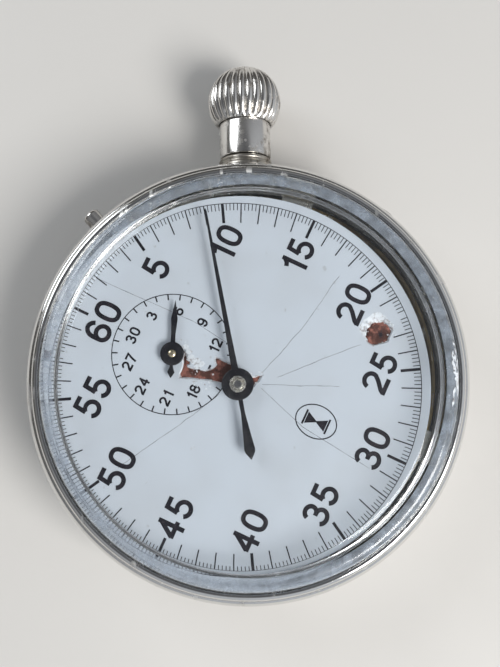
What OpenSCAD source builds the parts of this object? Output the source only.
// Crown-operated pocket stopwatch with a 60 second dial and a 30 minute sub-dial.
// Millimetres. Origin at the centre of the back cover's resting face, +Z out of the dial,
// +Y towards the crown. The movement is laid out about its own centre, off the case axis.

/* [Case] */
// Outside diameter of the case band
case_d = 54.4; // [53.8:0.2:66]
// Height of the snap-on back cover
back_h = 3.2; // [3:0.1:4]
// Thickness of the back cover's shell
back_t = 0.9; // [0.6:0.05:1.1]
// Height of the band between the back cover and the bezel
band_h = 6.4; // [6.2:0.1:7.8]
// Height of the bezel above the band
bezel_h = 3.3; // [2.9:0.1:4.2]
// Rise of the crystal above the bezel
crystal_rise = 2.7; // [2.2:0.1:3.6]
// Thickness of the crystal's dome
crystal_t = 1.9; // [1.4:0.1:2.3]

/* [Dial and hands] */
// Thickness of the copper dial plate
copper_t = 0.4; // [0.3:0.05:0.5]
// Thickness of the enamel on the dial plate
enamel_t = 0.3; // [0.2:0.05:0.4]
// Turn of the dial, anticlockwise from the crown to the 60 mark
dial_turn = 64; // [56:1:70]
// Offset of the movement from the case axis, across the crown
shift_x = -1.57; // [-1.6:0.01:-1.3]
// Offset of the movement from the case axis, along the crown
shift_y = -0.77; // [-0.8:0.01:-0.6]
// Reach of the seconds hand from its axis
seconds_len = 22.1; // [18.5:0.1:22.4]
// Reach of the minute hand from its axis
minute_len = 6.6; // [5.5:0.1:7.2]
// Seconds shown at rest
seconds_shown = 9.05; // [0:0.05:60]
// Minutes shown at rest
minutes_shown = 5.67; // [0:0.01:30]

/* [Crown and pusher] */
// Diameter of the fluted crown
crown_d = 9.7; // [9.2:0.1:10.4]
// Flutes around the crown
crown_flutes = 28; // [20:1:32]
// Outside diameter of the pendant sleeve
pendant_d = 6.8; // [6.4:0.1:7]
// Length of the pendant outside the band
pendant_len = 7.7; // [6.4:0.1:9.3]
// Diameter of the side pusher's button
pusher_d = 2.3; // [2:0.1:2.6]
// Angle of the side pusher, anticlockwise from the crown
pusher_turn = 43; // [41:1:46]

/* [Movement] */
// Distance from the seconds axis to the minute counter's axis
minute_cd = 8.8; // [7.3:0.1:9.4]
// Diameter of the balance wheel's rim
balance_d = 11.8; // [9.8:0.1:12.2]
// Coils in the hairspring
hairspring_coils = 8; // [6:1:9]
// Coils in the mainspring
mainspring_coils = 7; // [5:1:8]

/* [Hidden] */

$fn = 64;
tiny = 0.01;
fit = 0.03;

// Case levels and radii
case_r = case_d / 2;
band_top = back_h + band_h;
bezel_top = band_top + bezel_h;
crystal_top = bezel_top + crystal_rise;
crystal_seat = band_top + 2;
cavity_r = case_r - 1.4;
crystal_r = case_r - 2.2;
ledge_r = cavity_r - 1.5;
shift = [shift_x, shift_y];
shift_r = norm(shift);
dial_seat = band_top - 0.3;
dial_top = dial_seat + copper_t + enamel_t;
dial_r = cavity_r - shift_r - 0.15;
flange_r = dial_r - 0.45;
plate_r = ledge_r - shift_r - 0.15;
rim_r = plate_r - 1.8;

// Movement levels
plate_z = 6.9;
flange_z = dial_seat - 0.7;
bridge_top = 3.5;
bridge_z = 2.3;
works_z = 1.4;
works_t = 0.7;
stem_z = 5.2;
hand_z = dial_top + 0.55;
wheel_t = 0.4;
fourth_z = 4;
minute_z = 5;
third_z = 4.9;
second_z = 6.1;
intermediate_z = 5.7;
counter_t = 0.3;
escape_z = 5.8;
escape_t = 0.35;
column_z = 4.8;
column_t = 0.4;
column_h = 1.2;
roller_z = 5.3;
regulator_t = 0.38;
click_arm = 3.4;

// Tooth forms: addendum, dedendum, then half widths at the root and the tip, in pitches
wheel_form = [0.8, 1.2, 0.29, 0.09];
pinion_form = [0.6, 1.3, 0.23, 0.09];
train_m = 0.15;
barrel_m = 0.2;
escape_m = 0.13;
winding_m = 0.3;
leaves = 10;
escape_leaves = 8;
barrel_teeth = 80;
second_teeth = 80;
third_teeth = 75;
fourth_teeth = 80;
intermediate_teeth = 50;
minute_teeth = 60;
ratchet_teeth = 31;
crown_teeth = 27;
contrate_teeth = 20;
winding_leaves = 14;
contrate_r = 3.4;
winding_r = contrate_r * winding_leaves / contrate_teeth;

function heading(a) = [cos(a), sin(a)];
function bearing(a, b) = atan2(b.y - a.y, b.x - a.x);
// Where circles about a and b, of radii ra and rb, cross; side is 1 or -1
function meet(a, ra, b, rb, side) =
  let (d = norm(b - a), along = (ra * ra - rb * rb + d * d) / (2 * d),
       up = sqrt(ra * ra - along * along), u = (b - a) / d)
  a + u * along + [-u.y, u.x] * up * side;
// Phase at which a follower of n2 teeth meshes with a driver of n1 teeth at phase p1
function mesh_phase(c1, n1, p1, c2, n2) =
  let (a = bearing(c1, c2)) a + 180 + 180 / n2 - (p1 - a) * n1 / n2;
function centres(n1, n2, m) = (n1 + n2) * m / 2;

// Axes, from the movement's centre
seconds_c = [0, 0];
third_c = centres(third_teeth, leaves, train_m) * heading(-35);
second_c = third_c + centres(second_teeth, leaves, train_m) * heading(55);
barrel_c = second_c + centres(barrel_teeth, leaves, barrel_m) * heading(90);
stem_x = -shift_x;
winding_cd = centres(ratchet_teeth, crown_teeth, winding_m);
crown_c = [stem_x, barrel_c.y + sqrt(winding_cd * winding_cd - pow(barrel_c.x - stem_x, 2))];
escape_c = centres(fourth_teeth, escape_leaves, escape_m) * heading(235);
escape_line = 240;
pallet_c = escape_c + 3.1 * heading(escape_line);
balance_c = pallet_c + 4.19 * heading(escape_line);
minute_c = minute_cd * heading(90 + dial_turn);
intermediate_c = meet(seconds_c, centres(intermediate_teeth, leaves, train_m),
  minute_c, centres(minute_teeth, leaves, train_m), -1);
column_c = [-8.2, 13.8];
operating_c = [-3.4, crown_c.y + 0.73];
hammer_c = [-14.5, 8.5];
brake_c = [-13.6, 1];
click_c = barrel_c + 6.4 * heading(-20);

// Phases at rest, each meshing with the one before
seconds_phase = 90 + dial_turn - 6 * seconds_shown;
third_phase = mesh_phase(seconds_c, leaves, 0, third_c, third_teeth);
second_phase = mesh_phase(third_c, leaves, 0, second_c, second_teeth);
barrel_phase = mesh_phase(second_c, leaves, 0, barrel_c, barrel_teeth);
escape_phase = mesh_phase(seconds_c, fourth_teeth, 0, escape_c, escape_leaves);
intermediate_phase = mesh_phase(seconds_c, leaves, 0, intermediate_c, intermediate_teeth);
minute_phase = mesh_phase(intermediate_c, leaves, 0, minute_c, minute_teeth);
ratchet_phase = mesh_phase(crown_c, crown_teeth, 90, barrel_c, ratchet_teeth);

// Plan radii and sizes used by more than one piece
arbor_r = 0.35;
stud_r = 0.28;
pivot_r = 0.2;
jewel_r = 0.8;
jewel_t = 0.5;
seconds_r = 0.42;
minute_r = 0.3;
post_r = 0.45;
barrel_r = 7.4;
barrel_bore = 1.1;
barrel_z = 3.7;
barrel_top = 5.8;
stem_r = 1;
square_w = 1.1;
stem_tip = crown_c.y + 1.63;
pinion_y = crown_c.y + contrate_r - 0.8;
pinion_len = 1.6;
pinion_face = pinion_y + pinion_len;
heart_z = 3.55;
heart_t = 0.35;
hammer_z = 3.58;
hammer_t = 0.3;
lever_z = 4.8;
lever_t = 0.8;
brake_z = 4.1;
brake_t = 0.6;
balance_z = 4;
balance_t = 0.8;
balance_r = balance_d / 2;
spring_z = 3.6;
spring_t = 0.25;
roller_pin = 1;
pallet_z = 5.82;
pallet_t = 0.35;
press_travel = 1;
pusher_travel = 0.8;
pusher_u = heading(90 + pusher_turn);
pusher_tip = sqrt(pow(rim_r - 0.1, 2) - pow(shift * [-pusher_u.y, pusher_u.x], 2)) + shift * pusher_u;
pusher_neck = case_r + pusher_travel + 0.25;
rim_screws = [100, 74, 24, 4, -40, -84];
rim_mid = (plate_r + rim_r) / 2;
bridge_pillar = [-9.9, -2.4];
cock_pillar = rim_mid * heading(212) + 1.1 * heading(32);
pallet_posts = [for (s = [-1, 1]) pallet_c + s * 4.2 * heading(escape_line - 90)];
clamp_turns = [-19, 71];
foot_turns = [150, 330];
foot_c = rim_r - 1.1;
screw_places = concat([for (a = rim_screws) rim_mid * heading(a)], [bridge_pillar, cock_pillar]);
lever_posts = [operating_c, hammer_c, brake_c, column_c];

// Crown, along its own axis from the band
pendant_bore = 1.85;
guide_r = 1.4;
pusher_shaft = 0.85;
crown_y = case_r + pendant_len;
crown_base = crown_y - 0.8;
crown_ball = crown_base + crown_d * 0.32;
crown_end = crown_ball + crown_d * 0.425;

// Puts children in the movement's frame
module movement(p = [0, 0]) {
  translate([shift_x + p.x, shift_y + p.y, 0]) children();
}

// Turns a shape about Z so that it stands along +Y at the stem's height
module along_crown(y) {
  translate([0, y, stem_z]) rotate([-90, 0, 0]) children();
}

// Lays a shape about Z out along the side pusher's axis
module along_pusher(r) {
  rotate([0, 0, pusher_turn]) translate([0, r, stem_z]) rotate([-90, 0, 0]) children();
}

module disc(r, z, h) {
  translate([0, 0, z]) cylinder(r = r, h = h);
}

module ring(outer, inner, z, h) {
  difference() {
    disc(outer, z, h);
    disc(inner, z - tiny, h + 2 * tiny);
  }
}

// Flat bar from a to b with square ends
module bar(a, b, w, z, h) {
  translate([a.x, a.y, z]) rotate([0, 0, bearing(a, b)])
    translate([0, -w / 2, 0]) cube([norm(b - a), w, h]);
}

function tooth(n, m, form, i) =
  let (root = n * m / 2 - form[1] * m, tip = n * m / 2 + form[0] * m, p = 360 / n)
  [root * heading((i - form[2]) * p), tip * heading((i - form[3]) * p),
   tip * heading((i + form[3]) * p), root * heading((i + form[2]) * p)];

module gear(n, m, form, z, h, phase) {
  points = [for (i = [0:n - 1]) each tooth(n, m, form, i)];
  translate([0, 0, z]) rotate([0, 0, phase]) linear_extrude(h) polygon(points);
}

// Openings between the arms of a wheel
module windows(arms, inner, outer, arm_w, z, h, phase) {
  for (i = [0:arms - 1]) {
    in_a = asin(arm_w / 2 / inner);
    out_a = asin(arm_w / 2 / outer);
    span = 360 / arms;
    arc = [for (k = [0:6]) outer * heading(out_a + k * (span - 2 * out_a) / 6)];
    back = [for (k = [6:-1:0]) inner * heading(in_a + k * (span - 2 * in_a) / 6)];
    translate([0, 0, z - tiny]) rotate([0, 0, phase + i * span])
      linear_extrude(h + 2 * tiny) polygon(concat(arc, back));
  }
}

module wheel(n, m, z, h, phase, arms, bore, hub = 1.1) {
  difference() {
    gear(n, m, wheel_form, z, h, phase);
    windows(arms, hub, n * m / 2 - 3.2 * m, 0.55, z, h, phase);
    disc(bore, z - tiny, h + 2 * tiny);
  }
}

// Arbor between two jewels, with a pivot at each end
module arbor(r, low, high) {
  disc(r, low + 0.05, high - low - 0.1);
  disc(pivot_r, low - 0.42, high - low + 0.84);
}

module pinion(n, m, z, h, phase) {
  gear(n, m, pinion_form, z, h, phase);
}

module screw(head_r, head_t, shaft_r, length) {
  difference() {
    union() {
      disc(head_r, -head_t, head_t);
      disc(shaft_r, -tiny, length);
    }
    translate([-head_r - tiny, -head_r / 8, -head_t - tiny])
      cube([2 * head_r + 2 * tiny, head_r / 4, head_t / 2]);
  }
}

// Turned profile of the case: points of one quarter of a rounded edge
function round_edge(cx, cz, rx, rz, from, to, n) =
  [for (i = [0:n]) [cx + rx * cos(from + i * (to - from) / n), cz + rz * sin(from + i * (to - from) / n)]];

module case_band() {
  bulge = 0.25;
  outer = round_edge(case_r - bulge, back_h + band_h / 2, bulge, band_h / 2, -90, 90, 8);
  color("silver") difference() {
    rotate_extrude($fn = 128) polygon(concat(
      [[cavity_r, back_h - 0.45], [cavity_r + 0.3, back_h - 0.45], [cavity_r + 0.3, back_h]], outer,
      [[cavity_r + 0.5, band_top], [cavity_r + 0.5, band_top + 0.8], [cavity_r, band_top + 0.8],
       [cavity_r, flange_z], [ledge_r, flange_z], [ledge_r, flange_z - 0.9],
       [cavity_r, flange_z - 0.9]]));
    along_crown(cavity_r - 2) cylinder(r = pendant_bore + fit, h = 6);
    along_pusher(cavity_r - 2) cylinder(r = pusher_shaft + fit, h = 6);
  }
}
module back_cover() {
  rest_r = case_r - 5.7;
  wall_r = case_r - 0.15;
  side = round_edge(rest_r, back_h - 0.2, wall_r - rest_r, back_h - 0.2, -90, 0, 10);
  inside = round_edge(rest_r, back_h - 0.3, wall_r - 0.85 - rest_r, back_h - 0.3 - back_t, 0, -90, 10);
  color("lightgray") rotate_extrude($fn = 128) polygon(concat(
    [[0, 0]], side, [[wall_r, back_h], [wall_r - 0.75, back_h]], inside, [[0, back_t]]));
}

module bezel() {
  lip = round_edge(crystal_r + 0.75, bezel_top - 0.55, 0.45, 0.55, 90, 0, 5);
  flank = round_edge(crystal_r + 1.2, band_top + 0.55, case_r - crystal_r - 1.15, 1.6, 84, 0, 7);
  color("gainsboro") {
    rotate_extrude($fn = 128) polygon(concat(
      [[crystal_r + fit, bezel_top - 0.15], [crystal_r + 0.3, bezel_top]], lip, flank,
      [[case_r + 0.05, band_top], [cavity_r + 0.62, band_top], [cavity_r + 0.62, band_top + 0.85],
       [cavity_r + 0.02, band_top + 0.85], [cavity_r + 0.02, crystal_seat - 0.5],
       [crystal_r - 0.3, crystal_seat - 0.5], [crystal_r - 0.3, crystal_seat - fit],
       [crystal_r + fit, crystal_seat - fit]]));
    rotate([0, 0, -40.6]) translate([-1.3, case_r - 0.3, band_top]) cube([2.6, 0.75, 0.5]);
  }
}

// Crystal: a thick moulded cap with an upright wall and a rounded shoulder
module crystal() {
  wall = 1.6;
  shoulder = 1.1;
  dome_rise = 1.1;
  shoulder_top = crystal_top - dome_rise;
  ceiling = crystal_top - crystal_t;
  function dome(x, span, rise) = rise * (1 - x * x / (span * span));
  span = crystal_r - shoulder;
  under = span - 0.9;
  edge = round_edge(span, shoulder_top - shoulder, shoulder, shoulder, 0, 90, 6);
  top = [for (x = [0.85:-0.17:-0.01]) [span * x, shoulder_top + dome(span * x, span, dome_rise)]];
  roof = [for (x = [0:0.2:0.81]) [under * x, ceiling - dome_rise + dome(under * x, under, dome_rise)]];
  color("aliceblue", 0.35) rotate_extrude($fn = 128) polygon(concat(
    [[crystal_r, crystal_seat]], edge, top, roof,
    [[under, ceiling - dome_rise], [crystal_r - wall, ceiling - dome_rise - 0.55],
     [crystal_r - wall, crystal_seat]]));
}

module pendant() {
  sleeve_r = pendant_d / 2;
  color("silver") difference() {
    union() {
      along_crown(cavity_r - 0.5) cylinder(r = pendant_bore, h = crown_y - cavity_r + 0.5);
      along_crown(case_r + 2.2) cylinder(r = sleeve_r, h = pendant_len - 1.6);
    }
    along_crown(cavity_r - 1) cylinder(r = guide_r + fit, h = crown_y + 3 - cavity_r);
  }
}
module pendant_collar() {
  outer = pendant_d / 2 + 0.1;
  color("darkgray") along_crown(case_r + 0.3) rotate_extrude() polygon(concat(
    [[pendant_bore + tiny, 0], [outer - 0.7, 0]],
    round_edge(outer - 0.55, 1.05, 0.55, 0.8, -75, 80, 7),
    [[pendant_bore + tiny, 1.87]]));
}

module stem_guide() {
  color("goldenrod") difference() {
    along_crown(case_r + 0.6) cylinder(r = guide_r, h = pendant_len - 1.4);
    along_crown(case_r) cylinder(r = stem_r * 0.8 + fit, h = pendant_len + 3);
  }
}

module crown_knob() {
  r = crown_d / 2;
  skirt = pendant_d / 2 + 0.08;
  well = crown_y + press_travel + 0.85;
  color("silver") difference() {
    along_crown(crown_ball) intersection() {
      sphere(r = r, $fn = 96);
      translate([0, 0, crown_base - crown_ball]) cylinder(r = r + 1, h = crown_end - crown_base);
    }
    for (i = [0:crown_flutes - 1]) {
      along_crown(crown_base - 1) rotate([0, 0, i * 360 / crown_flutes])
        translate([r + 0.08, 0, 0]) cylinder(r = 0.42, h = crown_end - crown_base + 2, $fn = 24);
    }
    along_crown(crown_base - 1) cylinder(r = skirt, h = well - crown_base + 1);
    along_crown(well - 1) cylinder(r = stem_r * 0.8 + tiny, h = 3.2);
  }
}

module winding_stem() {
  base = shift_y + pinion_face + press_travel + 0.2;
  thin = stem_r * 0.8;
  guide_end = case_r + 0.6 + pendant_len - 1.4;
  color("steelblue") {
    along_crown(base) cylinder(r = thin, h = crown_y + press_travel + 2.9 - base);
    along_crown(case_r - 1.9) cylinder(r = guide_r - 0.1, h = 2.45);
    along_crown(guide_end + 0.05) cylinder(r = guide_r - 0.1, h = 1);
    along_crown(shift_y + pinion_y - 0.35) translate([-square_w / 2, -square_w / 2, 0])
      cube([square_w, square_w, pinion_len + press_travel + 0.6]);
    along_crown(shift_y + stem_tip) cylinder(r = 0.45, h = 1);
  }
}

module side_pusher() {
  color("silver") {
    along_pusher(pusher_tip) cylinder(r = pusher_shaft, h = pusher_neck - pusher_tip);
    along_pusher(pusher_neck - tiny) rotate_extrude() polygon(concat(
      [[0, 0], [pusher_d / 2 - 0.15, 0]],
      round_edge(pusher_d / 2 - 0.3, 1.6, 0.3, 0.4, -30, 90, 5), [[0, 2]]));
    along_pusher(cavity_r - 0.75) cylinder(r = pusher_shaft + 0.35, h = 0.4);
  }
}

module dial_holes(z, h) {
  disc(1.2, z, h);
  translate([minute_c.x, minute_c.y, 0]) disc(0.75, z, h);
}

module dial_plate() {
  color("sienna") movement() {
    difference() {
      disc(dial_r, dial_seat, copper_t);
      dial_holes(dial_seat - 1, 3);
    }
    for (a = foot_turns) {
      translate([foot_c * cos(a), foot_c * sin(a), 0]) disc(0.5, dial_seat - 1.7, 1.7);
    }
  }
}

// Point on the dial, from the 60 mark clockwise in seconds
function dial_point(s, r) = r * heading(90 + dial_turn - 6 * s);

module dial_enamel() {
  z = dial_seat + copper_t;
  cut = enamel_t + 2 * tiny;
  chip_z = z - tiny;
  along = bearing(seconds_c, minute_c);
  color("ghostwhite") movement() difference() {
    disc(dial_r, z, enamel_t);
    dial_holes(z - 1, 3);
    translate([0, 0, chip_z]) rotate([0, 0, along]) linear_extrude(cut) polygon([
      [-1.2, 0.9], [-2.9, 1.7], [-2.1, 0.1], [-1.3, -0.8], [0.4, -1.3], [1.9, -1.5], [3.4, -0.7],
      [5.1, -1.4], [6.6, -0.9], [7.9, -1.2], [9.1, -0.6], [8.8, 0.5], [7.2, 0.6], [5.9, 0.1],
      [4.4, 0.8], [2.6, 0.5], [1.2, 1.3]]);
    translate([dial_point(22.4, 18.7).x, dial_point(22.4, 18.7).y, chip_z]) linear_extrude(cut)
      polygon([for (i = [0:10]) (1.3 + 0.22 * sin(i * 137)) * heading(i * 360 / 11)]);
    translate([dial_point(57.3, 23.3).x, dial_point(57.3, 23.3).y, chip_z])
      rotate([0, 0, 90 + dial_turn]) linear_extrude(cut)
      polygon([[-0.5, -0.5], [0.2, -0.7], [1, -0.4], [1, 0.6], [0.1, 0.5]]);
  }
}

module seconds_hand() {
  z = hand_z + 0.75;
  blade = [[0, 0.4], [1.5, 0.33], [seconds_len - 0.6, 0.12], [seconds_len, 0], [seconds_len - 0.6, -0.12],
    [1.5, -0.33], [0, -0.4], [-1.8, -0.34], [-6.6, -0.72], [-8, -0.55], [-9.2, 0], [-8, 0.55],
    [-6.6, 0.72], [-1.8, 0.34]];
  color("black") movement() rotate([0, 0, seconds_phase]) difference() {
    union() {
      translate([0, 0, z]) linear_extrude(0.25) polygon(blade);
      disc(1.95, z, 0.25);
      disc(1, z - 0.25, 0.95);
    }
    disc(seconds_r + tiny, z - 1, 3);
  }
}

module minute_hand() {
  lance = [[0, 0.3], [2.4, 0.26], [4.2, 0.42], [minute_len, 0], [4.2, -0.42], [2.4, -0.26], [0, -0.3],
    [-1.6, -0.22], [-2.3, -0.45], [-3, 0], [-2.3, 0.45], [-1.6, 0.22]];
  color("black") movement(minute_c) rotate([0, 0, 90 + dial_turn - 12 * minutes_shown]) difference() {
    union() {
      translate([0, 0, hand_z]) linear_extrude(0.2) polygon(lance);
      disc(1.45, hand_z, 0.25);
    }
    disc(minute_r + tiny, hand_z - 1, 3);
  }
}

// Recesses and holes of the main plate
module plate_cuts() {
  through = dial_seat - plate_z + 2;
  disc(seconds_r + fit, plate_z - 1, through);
  translate([minute_c.x, minute_c.y, 0]) disc(minute_r + fit, plate_z - 1, through);
  for (c = [third_c, second_c, escape_c, pallet_c, balance_c]) {
    translate([c.x, c.y, 0]) disc(jewel_r + tiny, plate_z - tiny, jewel_t + tiny);
  }
  translate([barrel_c.x, barrel_c.y, 0]) disc(0.6 + fit, plate_z - tiny, 0.8);
  translate([stem_x - winding_r - 0.6, pinion_y - 0.25, plate_z - tiny])
    cube([2 * winding_r + 1.2, pinion_len + 0.5, winding_r + stem_z - plate_z + 0.5]);
  translate([stem_x, rim_r - 2, stem_z]) rotate([-90, 0, 0]) cylinder(r = stem_r * 0.8 + fit, h = 6);
  for (p = screw_places) translate([p.x, p.y, 0]) disc(0.46, bridge_top - tiny, 2.2);
  for (a = clamp_turns) rotate([0, 0, a]) clamp_room(2 * fit);
  for (a = foot_turns) {
    translate([foot_c * cos(a), foot_c * sin(a), 0]) disc(0.5 + fit, dial_seat - 1.8, 2);
    rotate([0, 0, a]) translate([foot_c + 0.2, 0, dial_seat - 1.2]) rotate([0, 90, 0])
      cylinder(r = 0.4 + tiny, h = 5);
  }
}

// A clamp's outline, which the plate's pocket follows with some clearance
module clamp_room(clear) {
  translate([rim_r - 0.6 - clear, -2 - clear, flange_z]) cube([9, 4 + 2 * clear, 1]);
  translate([rim_r + 0.4, 0, flange_z - 1.1]) cylinder(r = 0.35 + tiny, h = 2);
}

module main_plate() {
  color("gold") movement() difference() {
    union() {
      disc(plate_r, plate_z, dial_seat - plate_z);
      disc(flange_r, flange_z, dial_seat - flange_z);
      difference() {
        ring(plate_r, rim_r, bridge_top, plate_z - bridge_top + tiny);
        translate([barrel_c.x, barrel_c.y, 0])
          disc(barrel_r + 1.1, bridge_top - 1, plate_z - bridge_top + 1);
      }
      for (p = [bridge_pillar, cock_pillar]) {
        translate([p.x, p.y, 0]) disc(0.95, bridge_top, plate_z - bridge_top + tiny);
      }
      for (p = pallet_posts) translate([p.x, p.y, 0]) disc(0.8, 5.6, plate_z - 5.6 + tiny);
      for (p = lever_posts) translate([p.x, p.y, 0]) disc(post_r, bridge_top, plate_z - bridge_top + tiny);
      translate([intermediate_c.x, intermediate_c.y, 0])
        disc(stud_r, intermediate_z - 1, plate_z - intermediate_z + 1 + tiny);
    }
    plate_cuts();
    translate(-shift) along_pusher(pusher_tip - 0.4)
      cylinder(r = pusher_shaft + 0.45, h = 6);
  }
}

module bridge_hole(c, r) {
  translate([c.x, c.y, 0]) disc(r, bridge_z - tiny, bridge_top - bridge_z + 2 * tiny);
}

module bridge_plate(outline) {
  translate([0, 0, bridge_z]) linear_extrude(bridge_top - bridge_z) intersection() {
    circle(r = plate_r - 0.05, $fn = 128);
    polygon(outline);
  }
}

module barrel_bridge() {
  split = second_c.y + 4.4;
  color("lightgoldenrodyellow") movement() difference() {
    bridge_plate([[-4.5, 30], [-4.5, 12.6], [-1, split], [30, split], [30, 30]]);
    for (a = [rim_screws[0], rim_screws[1], rim_screws[2]]) bridge_hole(rim_mid * heading(a), 0.48);
    bridge_hole(barrel_c, 0.9 + fit);
    translate([crown_c.x, crown_c.y, 0]) {
      ring(contrate_r + 0.75, contrate_r - 0.75, bridge_z - tiny, 0.83);
      disc(0.45, bridge_z - tiny, 0.9);
    }
    translate([stem_x - winding_r - 0.2, pinion_y - 0.2, bridge_z + 0.25])
      cube([2 * winding_r + 0.4, pinion_len + 0.4, 1.5]);
    translate([click_c.x, click_c.y, 0]) disc(0.4, bridge_z - tiny, 0.9);
  }
}

module train_bridge() {
  split = second_c.y + 4.2;
  color("lightgoldenrodyellow") movement() difference() {
    bridge_plate([[-11.2, split - 0.6], [-1, split], [30, split], [30, -30], [-1, -30],
      [-1, -6], [-11.2, -3.8]]);
    for (a = [rim_screws[3], rim_screws[4], rim_screws[5]]) bridge_hole(rim_mid * heading(a), 0.48);
    bridge_hole(bridge_pillar, 0.48);
    for (c = [seconds_c, third_c, second_c, escape_c, minute_c]) bridge_hole(c, jewel_r + tiny);
    bridge_hole(balance_c, balance_r + 0.8);
  }
}

module balance_cock() {
  far = cock_pillar + 1.6 * heading(bearing(balance_c, cock_pillar));
  color("lightgoldenrodyellow") movement() difference() {
    union() {
      translate([cock_pillar.x, cock_pillar.y, 0]) disc(1.6, bridge_z, bridge_top - bridge_z);
      translate([balance_c.x, balance_c.y, 0]) disc(2.4, bridge_z, bridge_top - bridge_z);
      translate([balance_c.x, balance_c.y, 0]) disc(0.95, works_z + 0.5, 0.5);
      bar(balance_c, cock_pillar, 3, bridge_z, bridge_top - bridge_z);
      bar(balance_c, balance_c + 3.7 * heading(150), 1, bridge_z, bridge_top - bridge_z);
    }
    bridge_hole(cock_pillar, 0.48);
    translate([balance_c.x, balance_c.y, 0]) disc(jewel_r + tiny, works_z, 3);
  }
}

module pallet_cock() {
  color("lightgoldenrodyellow") movement() difference() {
    union() {
      bar(pallet_posts[0], pallet_posts[1], 1.5, 5.2, 0.4);
      for (p = pallet_posts) translate([p.x, p.y, 0]) disc(0.8, 5.2, 0.4);
    }
    translate([pallet_c.x, pallet_c.y, 0]) disc(pivot_r + fit, 5, 1);
  }
}

module bridge_screws() {
  color("steelblue") movement() {
    for (i = [0:len(screw_places) - 1]) {
      p = screw_places[i];
      translate([p.x, p.y, bridge_z]) rotate([0, 0, 41 * i]) screw(0.8, 0.45, 0.45, 3.2);
    }
  }
}

module case_clamps() {
  color("gray") movement() for (a = clamp_turns) {
    reach = cavity_r - 0.45 + shift_r * cos(a - atan2(-shift_y, -shift_x));
    rotate([0, 0, a]) difference() {
      translate([rim_r - 0.6, -2, flange_z]) cube([reach - rim_r + 0.6, 4, 0.6]);
      translate([rim_r + 0.4, 0, flange_z - 1]) cylinder(r = 0.37, h = 3);
      translate([rim_r + 0.4, 0, flange_z + 0.3]) cylinder(r = 0.85, h = 1);
    }
  }
}

module clamp_screws() {
  color("steelblue") movement() for (a = clamp_turns) {
    rotate([0, 0, a]) translate([rim_r + 0.4, 0, flange_z + 0.3]) rotate([180, 0, 0])
      screw(0.8, 0.3, 0.34, 1.3);
  }
}

module dial_screws() {
  color("steelblue") movement() for (a = foot_turns) {
    rotate([0, 0, a]) translate([foot_c + 0.55, 0, dial_seat - 1.2]) rotate([0, 90, 0])
      cylinder(r = 0.4, h = plate_r - foot_c - 0.6);
  }
}

module jewel(c, z) {
  translate([c.x, c.y, 0]) ring(jewel_r, pivot_r + fit, z, jewel_t);
}

module plate_jewels() {
  color("crimson") movement() {
    for (c = [third_c, second_c, escape_c, pallet_c, balance_c]) jewel(c, plate_z);
  }
}

module bridge_jewels() {
  color("crimson") movement() {
    for (c = [seconds_c, third_c, second_c, escape_c, minute_c, balance_c]) {
      jewel(c, bridge_top - jewel_t);
    }
  }
}

module barrel_drum() {
  color("gold") movement(barrel_c) difference() {
    union() {
      gear(barrel_teeth, barrel_m, wheel_form, barrel_z + 0.1, 0.55, barrel_phase);
      disc(barrel_r, barrel_z, barrel_top - barrel_z);
    }
    disc(barrel_r - 0.45, barrel_z + 0.35, 3);
    disc(barrel_bore + fit, barrel_z - 1, 4);
  }
}

module barrel_cover() {
  color("gold") movement(barrel_c) ring(barrel_r - 0.46, 0.9 + fit, barrel_top - 0.3, 0.3);
}

// Flat spiral from r0 to r1 about the origin
module spiral(r0, r1, coils, w, z, h) {
  n = coils * 24;
  function at(i, d) = (r0 + (r1 - r0) * i / n + d) * heading(i * 15);
  translate([0, 0, z]) linear_extrude(h)
    polygon(concat([for (i = [0:n]) at(i, w / 2)], [for (i = [n:-1:0]) at(i, -w / 2)]));
}

module mainspring() {
  color("slategray") movement(barrel_c)
    spiral(1.75, barrel_r - 0.7, mainspring_coils, 0.16, barrel_z + 0.45, 1.25);
}

module barrel_arbor() {
  color("lightsteelblue") movement(barrel_c) {
    disc(0.9, bridge_z - 0.15, barrel_z + 0.4 - bridge_z);
    disc(barrel_bore, barrel_z - 0.05, 0.4);
    disc(1.6, barrel_z + 0.4, 1.05);
    disc(0.9, barrel_z + 1.4, barrel_top - barrel_z - 1.35);
    disc(0.6, barrel_top - 0.1, plate_z + 0.7 - barrel_top);
    translate([-0.6, -0.6, works_z]) cube([1.2, 1.2, 1]);
  }
}

module ratchet_wheel() {
  color("silver") movement(barrel_c) difference() {
    gear(ratchet_teeth, winding_m, wheel_form, works_z, works_t, ratchet_phase);
    translate([-0.62, -0.62, works_z - 1]) cube([1.24, 1.24, 3]);
  }
}

module ratchet_screw() {
  color("steelblue") movement(barrel_c) difference() {
    disc(1.5, works_z - 0.35, 0.35);
    translate([-2, -0.2, works_z - 0.4]) cube([4, 0.4, 0.2]);
  }
}

module click() {
  beak = barrel_c + (ratchet_teeth * winding_m / 2 + 0.65) * heading(8);
  color("silver") movement() difference() {
    union() {
      translate([click_c.x, click_c.y, 0]) disc(0.9, works_z, works_t);
      bar(click_c, beak, 0.6, works_z, works_t);
    }
    translate([click_c.x, click_c.y, 0]) disc(0.4, works_z - 1, 3);
  }
}

module click_spring() {
  foot = click_c + click_arm * heading(50);
  color("steelblue") movement() {
    translate([foot.x, foot.y, 0]) disc(0.6, works_z + 0.1, bridge_z - works_z - 0.1);
    bar(foot, foot + 2.3 * heading(190), 0.2, works_z + 0.2, 0.5);
    translate([click_c.x, click_c.y, 0]) {
      disc(0.36, works_z, bridge_z - works_z + 0.6);
      disc(0.7, works_z - 0.3, 0.3);
    }
  }
}

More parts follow.
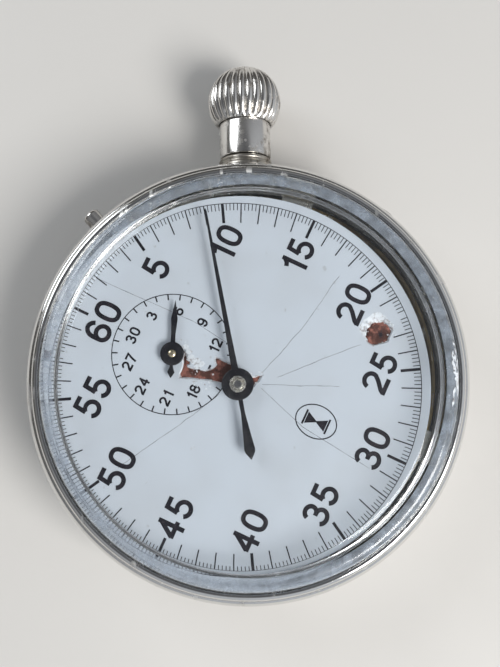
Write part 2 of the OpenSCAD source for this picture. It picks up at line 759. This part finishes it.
// Crown wheel: spur teeth for the ratchet wheel, face teeth for the winding pinion
module crown_wheel() {
  tip = 3.02;
  color("silver") movement(crown_c) difference() {
    union() {
      gear(crown_teeth, winding_m, wheel_form, works_z, works_t, 90);
      ring(contrate_r + 0.55, contrate_r - 0.55, works_z + works_t - tiny, 0.42);
      for (i = [0:contrate_teeth - 1]) {
        rotate([0, 0, 90 + i * 360 / contrate_teeth]) translate([0, 0, works_z + works_t + 0.3])
          rotate([90, 0, 90]) translate([0, 0, contrate_r - 0.55]) linear_extrude(1.1)
          polygon([[-0.24, 0], [0.24, 0], [0.09, tip - works_z - works_t - 0.3],
            [-0.09, tip - works_z - works_t - 0.3]]);
      }
    }
    disc(1.2, works_z - 1, 4);
  }
}

module crown_wheel_screw() {
  color("steelblue") movement(crown_c) difference() {
    union() {
      disc(1.9, works_z - 0.4, 0.37);
      disc(1.15, works_z - 0.1, bridge_z - works_z + 0.1);
      disc(0.44, bridge_z - 0.1, 0.9);
    }
    for (s = [-1, 1]) translate([s, 0, 0]) disc(0.3, works_z - 0.5, 0.3);
  }
}

module winding_pinion() {
  turn = 90 + 180 / winding_leaves;
  root = winding_r - 0.3;
  p = 360 / winding_leaves;
  leaves_outline = [for (i = [0:winding_leaves - 1]) each [
    root * heading((i - 0.2) * p), (winding_r + 0.16) * heading((i - 0.08) * p),
    (winding_r + 0.16) * heading((i + 0.08) * p), root * heading((i + 0.2) * p)]];
  color("silver") translate([0, shift_y, 0]) along_crown(pinion_y) difference() {
    rotate([0, 0, turn]) linear_extrude(pinion_len) polygon(leaves_outline);
    translate([-square_w / 2 - fit, -square_w / 2 - fit, -1])
      cube([square_w + 2 * fit, square_w + 2 * fit, 4]);
  }
}

module second_wheel() {
  color("gold") movement(second_c)
    wheel(second_teeth, train_m, second_z, wheel_t, second_phase, 5, arbor_r + tiny);
}

module second_pinion() {
  color("lightsteelblue") movement(second_c) {
    arbor(arbor_r, bridge_top, plate_z);
    pinion(leaves, barrel_m, 3.7, 1, 0);
  }
}

module third_wheel() {
  color("gold") movement(third_c)
    wheel(third_teeth, train_m, third_z, wheel_t, third_phase, 5, arbor_r + tiny);
}

module third_pinion() {
  color("lightsteelblue") movement(third_c) {
    arbor(arbor_r, bridge_top, plate_z);
    pinion(leaves, train_m, 5.9, 0.8, 0);
  }
}

module fourth_wheel() {
  color("gold") movement() wheel(fourth_teeth, escape_m, fourth_z, wheel_t, 0, 5, arbor_r + tiny);
}

module seconds_arbor() {
  color("lightsteelblue") movement() {
    disc(arbor_r, bridge_top + 0.02, plate_z - bridge_top);
    disc(pivot_r, bridge_top - 0.42, 1);
    disc(seconds_r, plate_z - 0.3, hand_z + 1.6 - plate_z);
    pinion(leaves, train_m, 4.7, 0.8, 0);
    pinion(leaves, train_m, 5.65, 0.5, 0);
  }
}

// Heart-shaped return cam about the origin, its point along +X
module heart(r, z, h) {
  n = 24;
  outline = [for (i = [-n:n - 1]) let (t = abs(i) / n)
    (0.55 * r + 0.45 * r * (1 - t)) * heading(i * 180 / n)];
  translate([0, 0, z]) linear_extrude(h) polygon(outline);
}

module seconds_heart() {
  color("silver") movement() difference() {
    rotate([0, 0, seconds_phase]) heart(1.1, heart_z, heart_t);
    disc(arbor_r + tiny, 3, 2);
  }
}

module escape_wheel() {
  n = 15;
  p = 360 / n;
  teeth = [for (i = [0:n - 1]) each [1.95 * heading((i - 0.2) * p), 2.55 * heading((i + 0.06) * p),
    2.6 * heading((i + 0.22) * p), 2.3 * heading((i + 0.2) * p), 1.95 * heading((i + 0.1) * p)]];
  color("silver") movement(escape_c) difference() {
    translate([0, 0, escape_z]) linear_extrude(escape_t) polygon(teeth);
    windows(4, 0.8, 1.6, 0.35, escape_z, escape_t, 20);
    disc(arbor_r + tiny, 5, 2);
  }
}

module escape_pinion() {
  color("lightsteelblue") movement(escape_c) {
    arbor(arbor_r, bridge_top, plate_z);
    pinion(escape_leaves, escape_m, 3.8, 0.8, escape_phase);
  }
}

// Stone held in an arm of the pallet lever; the escape wheel's axis is 3.1 back along the line
module pallet_stone(side, w, z, h) {
  near = [-3.1, 0] + 2.82 * heading(side * 35);
  bar(near, [-3.1, 0] + 3.3 * heading(side * 35), w, z, h);
}

module pallet_lever() {
  color("silver") movement(pallet_c) {
    rotate([0, 0, escape_line]) difference() {
      union() {
        bar([0, 0], [2.95, 0], 0.9, pallet_z, pallet_t);
        for (s = [-1, 1]) bar([0.2, 0], [-0.36, s * 1.95], 0.45, pallet_z, pallet_t);
      }
      translate([2.3, -0.16, pallet_z - 1]) cube([1, 0.32, 3]);
      for (s = [-1, 1]) pallet_stone(s, 0.23, pallet_z - 1, 3);
    }
    disc(arbor_r, 5.65, plate_z - 5.7);
    disc(pivot_r, 5.25, plate_z + 0.42 - 5.25);
  }
}

module pallet_stones() {
  color("crimson") movement(pallet_c) rotate([0, 0, escape_line]) {
    for (s = [-1, 1]) pallet_stone(s, 0.22, pallet_z, pallet_t);
  }
}

module balance_wheel() {
  screws = 14;
  color("gold") movement(balance_c) difference() {
    union() {
      ring(balance_r, balance_r - 0.6, balance_z, balance_t);
      bar([-balance_r + 0.4, 0], [balance_r - 0.4, 0], 0.9, balance_z + 0.2, 0.4);
      disc(1, balance_z + 0.2, 0.4);
      for (i = [0:screws - 1]) rotate([0, 0, (i + 0.5) * 360 / screws])
        translate([balance_r - 0.2, 0, balance_z + balance_t / 2]) rotate([0, 90, 0])
        cylinder(r = 0.25, h = 0.55, $fn = 24);
    }
    disc(arbor_r + tiny, 3, 3);
  }
}

module balance_staff() {
  color("lightsteelblue") movement(balance_c) {
    arbor(arbor_r, bridge_top, plate_z);
    disc(0.55, spring_z, spring_t);
  }
}

module roller() {
  color("silver") movement(balance_c) {
    ring(1.3, arbor_r + tiny, roller_z, 0.3);
    rotate([0, 0, escape_line + 180]) translate([roller_pin, 0, 0]) disc(0.1, roller_z + 0.3 - tiny, 0.6);
  }
}

// The hairspring keeps its outer end in the cock's stud, which stands beside the last coil
module hairspring() {
  color("midnightblue") movement(balance_c) {
    rotate([0, 0, 150]) {
      spiral(0.72, 2.9, hairspring_coils, 0.06, spring_z, spring_t);
      translate([2.9, -0.25, bridge_top]) cube([0.5, 0.5, 0.4]);
    }
  }
}

module regulator() {
  color("silver") movement(balance_c) difference() {
    union() {
      disc(1.7, works_z + 0.5, regulator_t);
      bar([0, 0], 4.6 * heading(300), 0.5, works_z + 0.5, regulator_t);
    }
    disc(0.98, works_z, 2);
  }
}

module intermediate_wheel() {
  color("gold") movement(intermediate_c) {
    wheel(intermediate_teeth, train_m, intermediate_z, counter_t, intermediate_phase, 4, stud_r + fit);
    difference() {
      union() {
        pinion(leaves, train_m, intermediate_z - 0.85, 0.55, 0);
        disc(0.5, intermediate_z - 0.4, 0.5);
      }
      disc(stud_r + fit, fourth_z, 3);
    }
  }
}

module minute_wheel() {
  color("gold") movement(minute_c)
    wheel(minute_teeth, train_m, minute_z, counter_t, minute_phase, 4, minute_r + tiny);
}

// Minute counter's arbor, with its heart turned from the same bar
module minute_arbor() {
  color("lightsteelblue") movement(minute_c) {
    disc(minute_r, bridge_top + 0.02, hand_z + 0.35 - bridge_top);
    disc(pivot_r, bridge_top - 0.42, 1);
    rotate([0, 0, 40]) heart(0.95, heart_z, heart_t);
    disc(0.5, 4.7, 0.3);
  }
}

module column_wheel() {
  n = 12;
  p = 360 / n;
  ratchet = [for (i = [0:n - 1]) each [2 * heading(i * p), 2.6 * heading((i + 0.15) * p)]];
  color("silver") movement(column_c) difference() {
    union() {
      translate([0, 0, column_z]) linear_extrude(column_t) polygon(ratchet);
      for (i = [0:5]) {
        translate([0, 0, column_z + column_t - tiny]) rotate([0, 0, i * 60]) linear_extrude(column_h)
          polygon([1.1 * heading(-13), 1.9 * heading(-16), 1.95 * heading(0), 1.9 * heading(16),
            1.1 * heading(13)]);
      }
    }
    disc(post_r + fit, 4, 4);
  }
}

module operating_lever() {
  tip = [stem_x + 0.35, stem_tip - 0.45];
  tail = [-6.1, operating_c.y + 0.1];
  color("silver") movement() difference() {
    union() {
      translate([operating_c.x, operating_c.y, 0]) disc(1, lever_z, lever_t);
      bar(operating_c, tip, 0.75, lever_z, lever_t);
      bar(operating_c, tail, 0.7, lever_z, lever_t);
    }
    translate([operating_c.x, operating_c.y, 0]) disc(post_r + fit, lever_z - 1, 3);
  }
}

// Pad of the reset hammer, in line with the side pusher
hammer_pad = (pusher_tip - 0.42) * pusher_u - shift;

// Point beside the hammer's arm: reach along it from its axis, and off to its left
function beside_hammer(reach, off) =
  let (v = heading(bearing(hammer_c, hammer_pad))) hammer_c + reach * v + off * [-v.y, v.x];

module reset_hammer() {
  end = [0.9, 3.3];
  color("silver") movement() difference() {
    union() {
      translate([hammer_c.x, hammer_c.y, 0]) disc(1, hammer_z, 2);
      bar(hammer_c, end, 0.9, hammer_z, hammer_t);
      bar(hammer_c, hammer_pad, 0.8, hammer_z, hammer_t);
      translate([hammer_pad.x, hammer_pad.y, 0]) rotate([0, 0, 90 + pusher_turn])
        translate([-0.3, -0.7, hammer_z]) cube([0.6, 1.4, 2]);
    }
    translate([hammer_c.x, hammer_c.y, 0]) disc(post_r + fit, hammer_z - 1, 5);
  }
}

module brake_lever() {
  beak = column_c + 3.05 * heading(240);
  shoe = balance_c + (balance_r + 0.95) * heading(140);
  color("silver") movement() difference() {
    union() {
      translate([brake_c.x, brake_c.y, 0]) disc(0.95, brake_z, brake_t);
      bar(brake_c, beak, 0.55, brake_z, brake_t);
      bar(brake_c, shoe, 0.6, brake_z, brake_t);
      translate([beak.x, beak.y, 0]) disc(0.25, brake_z, 1.9);
      bar(beak, column_c + 2.15 * heading(240), 0.3, brake_z + 1.4, 0.5);
      translate([shoe.x, shoe.y, 0]) disc(0.42, brake_z, brake_t);
    }
    translate([brake_c.x, brake_c.y, 0]) disc(post_r + fit, brake_z - 1, 3);
  }
}

// A blade spring on a foot under the main plate
module blade_spring(foot, end, z) {
  translate([foot.x, foot.y, 0]) disc(0.55, z, plate_z - z);
  bar(foot, end, 0.22, z, 0.5);
}

module lever_springs() {
  color("steelblue") movement() {
    blade_spring([-2.6, 19.4], [-5.6, 17.25], lever_z + 0.1);
    blade_spring(beside_hammer(-0.177, 3.173), beside_hammer(5.110, 0.678), hammer_z);
    blade_spring([-17.4, -2.6], [-14.4, -5.6], brake_z);
    blade_spring([-4.9, 10.6], [-5.2, 13.2], lever_z + 0.05);
  }
}

case_band();
back_cover();
bezel();
crystal();
pendant();
pendant_collar();
stem_guide();
crown_knob();
winding_stem();
side_pusher();
dial_plate();
dial_enamel();
seconds_hand();
minute_hand();
main_plate();
barrel_bridge();
train_bridge();
balance_cock();
pallet_cock();
bridge_screws();
case_clamps();
clamp_screws();
dial_screws();
plate_jewels();
bridge_jewels();
barrel_drum();
barrel_cover();
mainspring();
barrel_arbor();
ratchet_wheel();
ratchet_screw();
click();
click_spring();
crown_wheel();
crown_wheel_screw();
winding_pinion();
second_wheel();
second_pinion();
third_wheel();
third_pinion();
fourth_wheel();
seconds_arbor();
seconds_heart();
escape_wheel();
escape_pinion();
pallet_lever();
pallet_stones();
balance_wheel();
balance_staff();
roller();
hairspring();
regulator();
intermediate_wheel();
minute_wheel();
minute_arbor();
column_wheel();
operating_lever();
reset_hammer();
brake_lever();
lever_springs();
